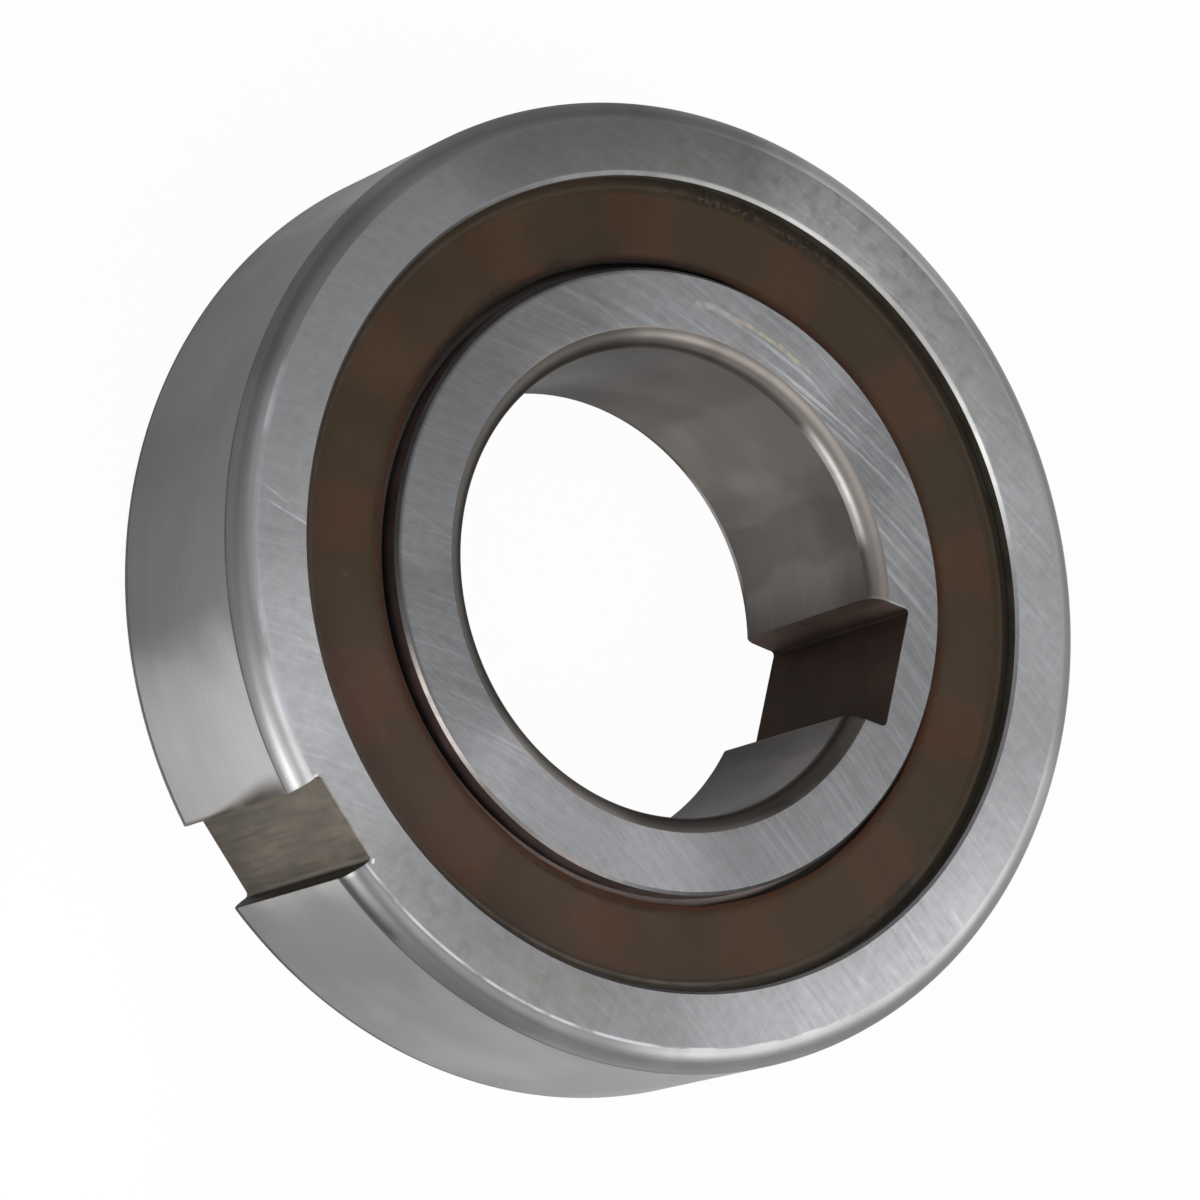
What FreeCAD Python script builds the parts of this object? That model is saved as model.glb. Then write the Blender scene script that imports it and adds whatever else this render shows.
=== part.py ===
import FreeCAD, Part
import math
import os

# One-way sprag clutch with its own ball bearing, in millimetres. The Z axis is the axis of the bore
# and points out of the ball side, which is the front. The origin is on that axis, half way through
# the width, and the X axis runs through the middle of the slot in the outer ring.

# Envelope of the rings
bore_diameter = 30.0
outside_diameter = 62.0
ring_width = 16.0
outer_edge_radius = 1.4
bore_edge_radius = 1.1
land_chamfer = 0.2

# Slot across the outer ring, and keyway along the bore
slot_width = 6.0
slot_depth = 2.0
keyway_width = 8.0
keyway_depth = 2.1
keyway_angle = 130.0
key_corner_radius = 0.3

# Space between the rings: plain tracks for the sprags, raised shoulders beside the balls
track_height = 6.0
shoulder_height = 0.75
shoulder_margin = 0.4
shoulder_rounding = 0.2

# Balls, one in each pocket of a snap cage
ball_count = 13
ball_diameter = 6.35
ball_groove_conformity = 0.52
ball_clearance = 0.05
first_ball_angle = 0.9

# Ball cage, a ring behind the balls with a pair of horns between each ball and the next
cage_thickness = 3.6
cage_floor = 0.8
pocket_clearance = 0.1
horn_reach = 2.65
mouth_width = 5.4
mouth_flare = 0.8
horn_slit_width = 0.9
horn_slit_depth = 1.8
cage_edge_rounding = 0.3

# Sprags, each with two cam arcs whose centres are offset to either side of its middle
sprag_count = 24
sprag_clearance = 0.05
outer_cam_radius = 3.3
inner_cam_radius = 2.9
cam_offset = 0.3
sprag_waist = 2.2
head_width = 3.6
head_shift = 0.2
head_depth = 1.2
head_rounding = 0.25

# Sprag cage, a drum with a window for each sprag between two end rims
drum_thickness = 2.0
rim_height = 4.0
rim_thickness = 0.5
window_side_clearance = 0.7
sprag_end_clearance = 0.08

# Garter spring that lies in a notch across the outer head of every sprag
spring_wire_coil = 0.9
spring_seat_clearance = 0.25
notch_side_clearance = 0.2
notch_depth_clearance = 0.4

# Shields, one film washer behind each face, snapped into the outer ring
shield_recess = 1.0
shield_thickness = 0.4
shield_groove_depth = 0.35
shield_fit = 0.03
shield_rim_gap = 0.5
shield_edge_rounding = 0.12

# Running gaps along the axis
ball_to_shield = 0.175
row_to_row = 0.3
drum_to_shield = 0.3

# Radii that the rings, the rows and the shields share
bore_radius = bore_diameter / 2
outer_radius = outside_diameter / 2
pitch_radius = (bore_radius + outer_radius) / 2
inner_track_radius = pitch_radius - track_height / 2
outer_track_radius = pitch_radius + track_height / 2
inner_shoulder_radius = inner_track_radius + shoulder_height
outer_shoulder_radius = outer_track_radius - shoulder_height
ball_radius = ball_diameter / 2
ball_groove_radius = ball_groove_conformity * ball_diameter
groove_centre_shift = ball_groove_radius - ball_radius - ball_clearance
shield_inner_radius = inner_track_radius + shield_rim_gap
shield_groove_radius = outer_track_radius + shield_groove_depth

# Heights along the axis, from the front face down to the rear one
front_z = ring_width / 2
shield_front_z = front_z - shield_recess
shield_back_z = shield_front_z - shield_thickness
ball_z = shield_back_z - ball_to_shield - ball_radius
horn_top_z = ball_z + horn_reach
cage_back_z = ball_z - ball_radius - pocket_clearance - cage_floor
shoulder_front_z = shield_back_z - shoulder_margin
shoulder_back_z = ball_z - ball_radius - shoulder_margin
drum_front_z = cage_back_z - row_to_row
drum_back_z = drum_to_shield - shield_back_z
sprag_z = (drum_front_z + drum_back_z) / 2
window_length = drum_front_z - drum_back_z - 2 * rim_thickness
sprag_length = window_length - 2 * sprag_end_clearance
spring_radius = pitch_radius + drum_thickness / 2 + spring_seat_clearance + spring_wire_coil / 2

# Two points nearer than this are one point
same_place = 1e-6

axis_z = FreeCAD.Vector(0, 0, 1)
origin = FreeCAD.Vector(0, 0, 0)


def in_section(across, along):
    """Point of a half section: its distance from the axis, and its height."""
    return FreeCAD.Vector(across, 0, along)


def in_plan(across, along):
    """Point of a plan view, seen along the axis."""
    return FreeCAD.Vector(across, along, 0)


def rounded_face(corners, place):
    """Flat face inside a closed outline of (across, along, rounding) corners."""
    points = [place(across, along) for across, along, _ in corners]
    edges = []
    starts = []
    ends = []
    for number, corner in enumerate(points):
        rounding = corners[number][2]
        back = (points[number - 1] - corner).normalize()
        ahead = (points[(number + 1) % len(points)] - corner).normalize()
        half_angle = back.getAngle(ahead) / 2
        reach = rounding / math.tan(half_angle)
        starts.append(corner + back * reach)
        ends.append(corner + ahead * reach)
    for number, corner in enumerate(points):
        rounding = corners[number][2]
        if rounding > 0:
            back = (points[number - 1] - corner).normalize()
            ahead = (points[(number + 1) % len(points)] - corner).normalize()
            half_angle = back.getAngle(ahead) / 2
            inward = (back + ahead).normalize()
            middle = corner + inward * (rounding / math.sin(half_angle) - rounding)
            edges.append(Part.Arc(starts[number], middle, ends[number]).toShape())
        edges.append(Part.makeLine(ends[number], starts[(number + 1) % len(points)]))
    return Part.Face(Part.Wire(edges))


def turned(corners):
    """Solid of revolution of a half section about the Z axis."""
    return rounded_face(corners, in_section).revolve(origin, axis_z, 360)


def swung(shape, angle):
    """Copy of a shape, swung about the Z axis by an angle in degrees."""
    copy = shape.copy()
    copy.rotate(origin, axis_z, angle)
    return copy


def spread(shape, count, first_angle=0.0):
    """Copies of a shape, evenly spaced about the Z axis."""
    return [swung(shape, first_angle + 360.0 * number / count) for number in range(count)]


def box_between(low, high):
    """Box between two opposite corners."""
    size = high - low
    return Part.makeBox(size.x, size.y, size.z, low)


def key_space(near, far, width, floor_is_far):
    """Straight channel along X through the whole width, with rounded corners at its floor."""
    half = width / 2
    far_rounding = key_corner_radius if floor_is_far else 0.0
    near_rounding = 0.0 if floor_is_far else key_corner_radius
    outline = [
        (near, -half, near_rounding),
        (far, -half, far_rounding),
        (far, half, far_rounding),
        (near, half, near_rounding),
    ]
    channel = rounded_face(outline, in_plan).extrude(axis_z * (2 * ring_width))
    channel.translate(axis_z * -ring_width)
    return channel


def make_outer_ring():
    """Outer ring: seats for both shields, the outer ball groove and the plain outer sprag track."""
    seat_z = shield_back_z - shield_fit
    lip_z = shield_front_z + shield_fit
    ring = turned([
        (outer_track_radius + land_chamfer, front_z, 0),
        (outer_radius, front_z, outer_edge_radius),
        (outer_radius, -front_z, outer_edge_radius),
        (outer_track_radius + land_chamfer, -front_z, 0),
        (outer_track_radius, land_chamfer - front_z, 0),
        (outer_track_radius, -lip_z, 0),
        (shield_groove_radius, -lip_z, 0),
        (shield_groove_radius, -seat_z, 0),
        (outer_track_radius, -seat_z, 0),
        (outer_track_radius, shoulder_back_z, shoulder_rounding),
        (outer_shoulder_radius, shoulder_back_z, shoulder_rounding),
        (outer_shoulder_radius, seat_z, 0),
        (shield_groove_radius, seat_z, 0),
        (shield_groove_radius, lip_z, 0),
        (outer_track_radius, lip_z, 0),
        (outer_track_radius, front_z - land_chamfer, 0),
    ])
    groove_circle = pitch_radius - groove_centre_shift
    groove = Part.makeTorus(groove_circle, ball_groove_radius, axis_z * ball_z, axis_z)
    slot = key_space(outer_radius - slot_depth, outer_radius + slot_depth, slot_width, False)
    return ring.cut([groove, slot])


def make_inner_ring():
    """Inner ring: keyed bore, the inner ball groove and the plain inner sprag track."""
    ring = turned([
        (bore_radius, -front_z, bore_edge_radius),
        (bore_radius, front_z, bore_edge_radius),
        (inner_track_radius - land_chamfer, front_z, 0),
        (inner_track_radius, front_z - land_chamfer, 0),
        (inner_track_radius, shoulder_front_z, shoulder_rounding),
        (inner_shoulder_radius, shoulder_front_z, shoulder_rounding),
        (inner_shoulder_radius, shoulder_back_z, shoulder_rounding),
        (inner_track_radius, shoulder_back_z, shoulder_rounding),
        (inner_track_radius, land_chamfer - front_z, 0),
        (inner_track_radius - land_chamfer, -front_z, 0),
    ])
    groove_circle = pitch_radius + groove_centre_shift
    groove = Part.makeTorus(groove_circle, ball_groove_radius, axis_z * ball_z, axis_z)
    keyway = key_space(bore_radius / 2, bore_radius + keyway_depth, keyway_width, True)
    return ring.cut([groove, swung(keyway, keyway_angle)])


def make_shield(low_z):
    """Film washer, seated in the outer ring's groove and clear of the inner ring."""
    seated_radius = shield_groove_radius - shield_fit
    high_z = low_z + shield_thickness
    return turned([
        (shield_inner_radius, low_z, shield_edge_rounding),
        (seated_radius, low_z, shield_edge_rounding),
        (seated_radius, high_z, shield_edge_rounding),
        (shield_inner_radius, high_z, shield_edge_rounding),
    ])


def make_ball_cage():
    """Snap cage: a floor behind the balls, and round pockets open to the front between horns."""
    inside = pitch_radius - cage_thickness / 2
    outside = pitch_radius + cage_thickness / 2
    ring = turned([
        (inside, cage_back_z, cage_edge_rounding),
        (outside, cage_back_z, cage_edge_rounding),
        (outside, horn_top_z, cage_edge_rounding),
        (inside, horn_top_z, cage_edge_rounding),
    ])
    ball_centre = FreeCAD.Vector(pitch_radius, 0, ball_z)
    pocket = Part.makeSphere(ball_radius + pocket_clearance, ball_centre)
    mouth = make_pocket_mouth()
    slit = box_between(
        FreeCAD.Vector(inside / 2, -horn_slit_width / 2, horn_top_z - horn_slit_depth),
        FreeCAD.Vector(outer_radius, horn_slit_width / 2, front_z),
    )
    half_pitch = 180.0 / ball_count
    tools = spread(pocket, ball_count, first_ball_angle)
    tools += spread(mouth, ball_count, first_ball_angle)
    tools += spread(slit, ball_count, first_ball_angle + half_pitch)
    return ring.cut(tools)


def make_pocket_mouth():
    """Way into a pocket from the front: narrower than the ball, and flared at the horns' tips."""
    half = mouth_width / 2
    flared = half + mouth_flare
    flare_z = horn_top_z - mouth_flare
    outline = [
        (-half, ball_z),
        (half, ball_z),
        (half, flare_z),
        (flared, horn_top_z),
        (flared, front_z),
        (-flared, front_z),
        (-flared, horn_top_z),
        (-half, flare_z),
    ]
    points = [FreeCAD.Vector(pitch_radius / 2, across, z) for across, z in outline]
    face = Part.Face(Part.makePolygon(points + points[:1]))
    return face.extrude(FreeCAD.Vector(outer_radius, 0, 0))


def cam_point(centre, radius, across, side):
    """Point of a cam arc at a distance across the sprag; side is 1 outwards and -1 inwards."""
    reach = math.sqrt(radius ** 2 - (across - centre.y) ** 2)
    return FreeCAD.Vector(centre.x + side * reach, across, 0)


def make_sprag():
    """Sprag at rest on the X axis: two heads with cam arcs, a waist, and a notch for the spring."""
    outer_distance = outer_track_radius - sprag_clearance - outer_cam_radius
    inner_distance = inner_track_radius + sprag_clearance + inner_cam_radius
    outer_height = math.sqrt(outer_distance ** 2 - cam_offset ** 2) - pitch_radius
    inner_height = math.sqrt(inner_distance ** 2 - cam_offset ** 2) - pitch_radius
    outer_centre = FreeCAD.Vector(outer_height, -cam_offset, 0)
    inner_centre = FreeCAD.Vector(inner_height, cam_offset, 0)

    # Outline from the sprag's middle: X is outwards, Y is across it, counter-clockwise in the clutch
    wide = head_width / 2 + head_shift
    narrow = head_width / 2 - head_shift
    neck = track_height / 2 - head_depth
    outer_back = cam_point(outer_centre, outer_cam_radius, -wide, 1)
    outer_top = cam_point(outer_centre, outer_cam_radius, -cam_offset, 1)
    outer_front = cam_point(outer_centre, outer_cam_radius, narrow, 1)
    inner_front = cam_point(inner_centre, inner_cam_radius, wide, -1)
    inner_foot = cam_point(inner_centre, inner_cam_radius, cam_offset, -1)
    inner_back = cam_point(inner_centre, inner_cam_radius, -narrow, -1)
    front_neck = FreeCAD.Vector(neck, narrow, 0)
    front_waist = FreeCAD.Vector(0, sprag_waist / 2, 0)
    front_heel = FreeCAD.Vector(-neck, wide, 0)
    back_heel = FreeCAD.Vector(-neck, -narrow, 0)
    back_waist = FreeCAD.Vector(0, -sprag_waist / 2, 0)
    back_neck = FreeCAD.Vector(neck, -wide, 0)
    outline = Part.Wire([
        Part.Arc(outer_back, outer_top, outer_front).toShape(),
        Part.makeLine(outer_front, front_neck),
        Part.Arc(front_neck, front_waist, front_heel).toShape(),
        Part.makeLine(front_heel, inner_front),
        Part.Arc(inner_front, inner_foot, inner_back).toShape(),
        Part.makeLine(inner_back, back_heel),
        Part.Arc(back_heel, back_waist, back_neck).toShape(),
        Part.makeLine(back_neck, outer_back),
    ])
    body = Part.Face(outline).extrude(axis_z * sprag_length)
    corners = [outer_back, outer_front, inner_front, inner_back]
    body = body.makeFillet(head_rounding, edges_over(body, corners))
    body.translate(FreeCAD.Vector(pitch_radius, 0, sprag_z - sprag_length / 2))
    return body.cut(make_spring_notch())


def edges_over(body, corners):
    """Upright edges of a body that pass over the given points of its outline."""
    found = []
    for edge in body.Edges:
        ends = [vertex.Point for vertex in (edge.Vertexes[0], edge.Vertexes[-1])]
        if any(all(math.dist(end[:2], corner[:2]) < same_place for end in ends) for corner in corners):
            found.append(edge)
    return found


def make_spring_notch():
    """Channel across the outer head of a sprag, wider and deeper than the spring that lies in it."""
    floor_radius = spring_radius - spring_wire_coil / 2 - notch_depth_clearance
    half_width = spring_wire_coil / 2 + notch_side_clearance
    return box_between(
        FreeCAD.Vector(floor_radius, -head_width, sprag_z - half_width),
        FreeCAD.Vector(outer_radius, head_width, sprag_z + half_width),
    )


def make_sprag_cage():
    """Drum with one window for each sprag, between two rims that keep it off the rings."""
    inside = pitch_radius - drum_thickness / 2
    outside = pitch_radius + drum_thickness / 2
    rim_inside = pitch_radius - rim_height / 2
    rim_outside = pitch_radius + rim_height / 2
    window_front_z = drum_front_z - rim_thickness
    window_back_z = drum_back_z + rim_thickness
    drum = turned([
        (rim_inside, drum_back_z, 0),
        (rim_outside, drum_back_z, 0),
        (rim_outside, window_back_z, 0),
        (outside, window_back_z, 0),
        (outside, window_front_z, 0),
        (rim_outside, window_front_z, 0),
        (rim_outside, drum_front_z, 0),
        (rim_inside, drum_front_z, 0),
        (rim_inside, window_front_z, 0),
        (inside, window_front_z, 0),
        (inside, window_back_z, 0),
        (rim_inside, window_back_z, 0),
    ])
    half_window = sprag_waist / 2 + window_side_clearance
    window = box_between(
        FreeCAD.Vector(rim_inside, -half_window, window_back_z),
        FreeCAD.Vector(rim_outside, half_window, window_front_z),
    )
    return drum.cut(spread(window, sprag_count))


def make_garter_spring():
    """Ring of coiled wire round the drum, as the plain ring that its coils lie within."""
    return Part.makeTorus(spring_radius, spring_wire_coil / 2, axis_z * sprag_z, axis_z)


def make_parts():
    """Every piece of the clutch where it lies at rest, by the name of its file."""
    pieces = {
        "outer_ring": make_outer_ring(),
        "inner_ring": make_inner_ring(),
        "front_shield": make_shield(shield_back_z),
        "rear_shield": make_shield(-shield_front_z),
        "ball_cage": make_ball_cage(),
        "sprag_cage": make_sprag_cage(),
        "garter_spring": make_garter_spring(),
    }
    ball = Part.makeSphere(ball_radius, FreeCAD.Vector(pitch_radius, 0, ball_z))
    for number, placed in enumerate(spread(ball, ball_count, first_ball_angle), 1):
        pieces["ball_%02d" % number] = placed
    for number, placed in enumerate(spread(make_sprag(), sprag_count), 1):
        pieces["sprag_%02d" % number] = placed
    return pieces


os.makedirs("parts", exist_ok=True)
for name, solid in make_parts().items():
    solid.exportStep("parts/%s.step" % name)
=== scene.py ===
import math

import bmesh
import bpy
import numpy as np
from mathutils import Matrix, Vector


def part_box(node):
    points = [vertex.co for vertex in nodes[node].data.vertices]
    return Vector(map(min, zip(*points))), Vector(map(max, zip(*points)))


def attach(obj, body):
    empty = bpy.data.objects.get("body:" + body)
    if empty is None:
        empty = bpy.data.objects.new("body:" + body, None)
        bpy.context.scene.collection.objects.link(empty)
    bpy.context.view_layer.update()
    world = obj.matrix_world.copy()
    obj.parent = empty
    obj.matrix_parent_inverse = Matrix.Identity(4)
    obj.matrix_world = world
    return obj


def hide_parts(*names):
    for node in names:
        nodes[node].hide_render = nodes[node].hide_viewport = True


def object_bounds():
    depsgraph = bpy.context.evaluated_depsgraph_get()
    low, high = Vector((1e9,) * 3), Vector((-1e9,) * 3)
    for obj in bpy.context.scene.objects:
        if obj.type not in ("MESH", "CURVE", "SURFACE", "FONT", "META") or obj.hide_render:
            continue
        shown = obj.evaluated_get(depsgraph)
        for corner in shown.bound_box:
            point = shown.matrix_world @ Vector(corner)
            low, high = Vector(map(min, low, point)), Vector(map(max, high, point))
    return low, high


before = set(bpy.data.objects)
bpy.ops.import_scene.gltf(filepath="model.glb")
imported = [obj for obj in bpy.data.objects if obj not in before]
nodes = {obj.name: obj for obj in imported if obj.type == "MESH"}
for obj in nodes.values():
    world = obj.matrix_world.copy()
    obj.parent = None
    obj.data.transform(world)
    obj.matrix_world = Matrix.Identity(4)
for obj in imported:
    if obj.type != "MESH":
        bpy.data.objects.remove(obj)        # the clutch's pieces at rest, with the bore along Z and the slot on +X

cad_low, cad_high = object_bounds()

# Camera
# The photograph looks past the front face from one side, with a long lens and rolled so that the slot
# comes at the lower left. The turns bring the clutch round from lying on its rear face.
slot_turn = 149.7
camera_yaw = 31.535
camera_pitch = -10.284
camera_away = 0.38495
camera_aside = (0.004704, 0.001336)
camera_lens = 184.4
camera_sensor = 36.0
face_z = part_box("outer_ring")[1].z


def linked(name, data):
    """New object in the scene."""
    made = bpy.data.objects.new(name, data)
    bpy.context.scene.collection.objects.link(made)
    return made


camera = linked("camera", bpy.data.cameras.new("camera"))
bpy.context.scene.camera = camera
camera.data.sensor_width = camera_sensor
camera.data.lens = camera_lens
turned_to_slot = Matrix.Rotation(math.radians(slot_turn), 4, "Z")
yawed = Matrix.Rotation(math.radians(camera_yaw), 4, "Y")
pitched = Matrix.Rotation(math.radians(camera_pitch), 4, "X")
backed_off = Matrix.Translation((-camera_aside[0], -camera_aside[1], camera_away))
on_face = Matrix.Translation((0, 0, face_z))
camera.matrix_world = on_face @ turned_to_slot @ (yawed @ pitched).inverted() @ backed_off

# Studio
# A pale floor right under the rear face and a soft room. Large panels stand round the clutch, and small
# cards close to it light the slot, two places on the outer ring's face and rounding, and the bore.
room_light = 0.25
room_mirrored = 0.19
floor_size = 3.0
floor_shade = 0.58
white_seen = 0.97
white_mirrored = 0.115
white_beyond = 0.90
beyond_start = 0.055
beyond_end = 0.140
origin = (0.0, 0.0, 0.0)
white = (1.0, 1.0, 1.0, 1.0)

# Each light's name, turn and rise in degrees, distance, size, power in watts and the place it faces
lights = [
    ("panel_right", 90, 60, 0.40, 0.16, 0.480, origin),
    ("panel_above", 0, 88, 0.40, 0.16, 0.265, origin),
    ("panel_slot", 345, 36, 0.40, 0.20, 0.255, origin),
    ("panel_back", 150, 36, 0.40, 0.16, 0.075, origin),
    ("panel_left", 270, 60, 0.40, 0.16, 0.100, origin),
    ("panel_low", 57, 19, 0.40, 0.16, 0.145, origin),
    ("card_slot", 0, 15, 0.062, 0.02, 0.015, (0.028, 0.0, -0.004)),
    ("card_face", 129.8, 47.4, 0.1155, 0.03, 0.010, (0.0, 0.0275, 0.008)),
    ("card_far", 170, 50.8, 0.1402, 0.03, 0.0055, (-0.024, 0.0, 0.008)),
    ("card_bore", 0, 90, 0.050, 0.02, 0.0013, origin),
]


def feed(tree, socket, value):
    """Sets a socket to a plain value, or links it to the socket that the value comes out of."""
    if isinstance(value, bpy.types.NodeSocket):
        tree.links.new(value, socket)
    else:
        socket.default_value = value


def fill(tree, node, values):
    """Feeds sockets of a node by their names."""
    for name, value in values.items():
        feed(tree, node.inputs[name], value)


def combined(tree, operation, *values):
    """Values through one Math node."""
    node = tree.nodes.new("ShaderNodeMath")
    node.operation = operation
    for socket, value in zip(node.inputs, values):
        feed(tree, socket, value)
    return node.outputs[0]


def vectored(tree, operation, *vectors, scale=None):
    """Vectors through one Vector Math node. Lengths, distances and dot products come out as values."""
    node = tree.nodes.new("ShaderNodeVectorMath")
    node.operation = operation
    for socket, vector in zip(node.inputs, vectors):
        feed(tree, socket, vector)
    if scale is not None:
        tree.links.new(scale, node.inputs["Scale"])
    return node.outputs["Value" if operation in ("LENGTH", "DISTANCE", "DOT_PRODUCT") else "Vector"]


def ranged(tree, value, from_low, from_high, to_low, to_high):
    """A value carried smoothly from one range to another, held at the ends."""
    node = tree.nodes.new("ShaderNodeMapRange")
    node.interpolation_type = "SMOOTHSTEP"
    limits = {"From Min": from_low, "From Max": from_high, "To Min": to_low, "To Max": to_high}
    fill(tree, node, {"Value": value, **limits})
    return node.outputs[0]


def object_place(tree):
    """Object coordinates."""
    return tree.nodes.new("ShaderNodeTexCoord").outputs["Object"]


def white_share(tree, seen, mirrored):
    """Share of plain white in what a ray meets: for camera rays, for mirror and glass rays, else none."""
    path = tree.nodes.new("ShaderNodeLightPath").outputs
    glossy = combined(tree, "MAXIMUM", path["Is Glossy Ray"], path["Is Transmission Ray"])
    dimmed = combined(tree, "MULTIPLY", glossy, mirrored)
    return combined(tree, "MULTIPLY_ADD", path["Is Camera Ray"], seen, dimmed)


def blended(tree, factor, plain, white):
    """A plain shader and a white one, mixed by a factor."""
    mix = tree.nodes.new("ShaderNodeMixShader")
    tree.links.new(factor, mix.inputs["Fac"])
    tree.links.new(plain, mix.inputs[1])
    tree.links.new(white, mix.inputs[2])
    return mix.outputs[0]


world = bpy.data.worlds.new("white_room")
bpy.context.scene.world = world
world.use_nodes = True
room = world.node_tree
room.nodes.clear()
dim = room.nodes.new("ShaderNodeBackground")
fill(room, dim, {"Color": white, "Strength": room_light})
bright = room.nodes.new("ShaderNodeBackground")
fill(room, bright, {"Color": white, "Strength": 1.0})
room_out = room.nodes.new("ShaderNodeOutputWorld")
seen_white = blended(room, white_share(room, 1.0, room_mirrored), dim.outputs[0], bright.outputs[0])
room.links.new(seen_white, room_out.inputs["Surface"])

floor_material = bpy.data.materials.new("studio_floor")
floor_material.use_nodes = True
floor_tree = floor_material.node_tree
floor_tree.nodes.clear()
matt = floor_tree.nodes.new("ShaderNodeBsdfDiffuse")
matt.inputs["Color"].default_value = (floor_shade, floor_shade, floor_shade, 1.0)
glow = floor_tree.nodes.new("ShaderNodeEmission")
glow.inputs["Strength"].default_value = 1.0
floor_out = floor_tree.nodes.new("ShaderNodeOutputMaterial")
from_clutch = vectored(floor_tree, "LENGTH", object_place(floor_tree))
paler = ranged(floor_tree, from_clutch, beyond_start, beyond_end, white_mirrored, white_beyond)
floor_share = white_share(floor_tree, white_seen, paler)
floor_white = blended(floor_tree, floor_share, matt.outputs[0], glow.outputs[0])
floor_tree.links.new(floor_white, floor_out.inputs["Surface"])

floor_mesh = bpy.data.meshes.new("studio_floor")
half_floor = floor_size / 2
floor_sides = ((-1, -1), (1, -1), (1, 1), (-1, 1))
floor_corners = [(x * half_floor, y * half_floor, cad_low.z) for x, y in floor_sides]
floor_mesh.from_pydata(floor_corners, [], [(0, 1, 2, 3)])
floor_mesh.materials.append(floor_material)
floor = linked("studio_floor", floor_mesh)

for name, turn, rise, away, size, power, aim in lights:
    turn, rise = math.radians(turn), math.radians(rise)
    toward = Vector((math.cos(turn) * math.cos(rise), math.sin(turn) * math.cos(rise), math.sin(rise)))
    place = away * toward
    facing = (place - Vector(aim)).to_track_quat("Z", "Y")
    lamp = bpy.data.lights.new(name, "AREA")
    lamp.size = size
    lamp.energy = power
    stand = linked(name, lamp)
    stand.matrix_world = Matrix.Translation(place) @ facing.to_matrix().to_4x4()
    stand.visible_camera = False

# Steel of the rings
# Both rings are hardened bearing steel. Their faces are ground by the edge of a wide wheel, which
# leaves long parallel arcs, and their round surfaces are ground along the turn.
level = (1.0, 1.0, 0.0)
soil_colour = (0.170, 0.145, 0.105)


def new_material(name):
    """Material with a Principled shader; returns it, its tree and that shader."""
    material = bpy.data.materials.new(name)
    material.use_nodes = True
    return material, material.node_tree, material.node_tree.nodes["Principled BSDF"]


def noise_at(tree, vector, scale, detail):
    """Noise at a place, from about 0.25 to 0.75."""
    node = tree.nodes.new("ShaderNodeTexNoise")
    fill(tree, node, {"Vector": vector, "Scale": scale, "Detail": detail})
    return node.outputs["Fac"]


def split(tree, place):
    """X, Y and Z of a place."""
    node = tree.nodes.new("ShaderNodeSeparateXYZ")
    tree.links.new(place, node.inputs[0])
    return node.outputs


def new_group(name, output, numbers, vectors=()):
    """Empty node group; returns it, its inputs, its output socket and the object coordinates in it."""
    group = bpy.data.node_groups.new(name, "ShaderNodeTree")
    for sockets, kind in ((vectors, "NodeSocketVector"), (numbers, "NodeSocketFloat")):
        for socket in sockets:
            group.interface.new_socket(socket, in_out="INPUT", socket_type=kind)
    group.interface.new_socket(output, in_out="OUTPUT", socket_type="NodeSocketFloat")
    given = group.nodes.new("NodeGroupInput").outputs
    return group, given, group.nodes.new("NodeGroupOutput").inputs[0], object_place(group)


def make_arc_lines():
    """Group: fine lines along circles about a centre. It is noise that changes fast with the distance
    from the centre and slowly with the place, so that each line fades out along its length."""
    group, given, out, place = new_group("arc_lines", "Lines", ("Density", "Fade"), ("Centre",))
    axes = split(group, place)
    away = vectored(group, "DISTANCE", vectored(group, "MULTIPLY", place, level), given["Centre"])
    spread = (
        combined(group, "MULTIPLY", away, given["Density"]),
        combined(group, "MULTIPLY", axes["X"], given["Fade"]),
        combined(group, "MULTIPLY", axes["Y"], given["Fade"]),
    )
    lined = group.nodes.new("ShaderNodeCombineXYZ")
    for socket, value in zip(lined.inputs, spread):
        group.links.new(value, socket)
    group.links.new(noise_at(group, lined.outputs[0], 1.0, 3.0), out)
    return group


def make_stains():
    """Group: soft blotches of oil and handling, as noise stretched to a mask."""
    group, given, out, place = new_group("stains", "Mask", ("Size",))
    spread = vectored(group, "SCALE", place, scale=given["Size"])
    group.links.new(ranged(group, noise_at(group, spread, 1.0, 4.0), 0.36, 0.66, 0.0, 1.0), out)
    return group


def hypotenuse(tree, first, second):
    """Square root of the sum of two squares."""
    squares = [combined(tree, "MULTIPLY", side, side) for side in (first, second)]
    return combined(tree, "POWER", combined(tree, "ADD", *squares), 0.5)


def make_rim_marks():
    """Group: a ragged line along a circular edge of a ring, the same on both faces. The mask falls from
    1 on the edge to 0 at Width from it, measured in the ring's section, and noise breaks it by Ragged."""
    group, given, out, place = new_group("rim_marks", "Mask", ("Radius", "Height", "Width", "Ragged"))
    axes = split(group, place)
    beside = combined(group, "SUBTRACT", hypotenuse(group, axes["X"], axes["Y"]), given["Radius"])
    above = combined(group, "SUBTRACT", combined(group, "ABSOLUTE", axes["Z"]), given["Height"])
    share = combined(group, "DIVIDE", hypotenuse(group, beside, above), given["Width"])
    near = ranged(group, share, 0.25, 1.0, 1.0, 0.0)
    broken = ranged(group, noise_at(group, place, 420.0, 4.0), 0.40, 0.62, 0.0, 1.0)
    kept = combined(group, "SUBTRACT", 1.0, combined(group, "MULTIPLY", given["Ragged"], broken))
    group.links.new(combined(group, "MULTIPLY", near, kept), out)
    return group


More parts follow.
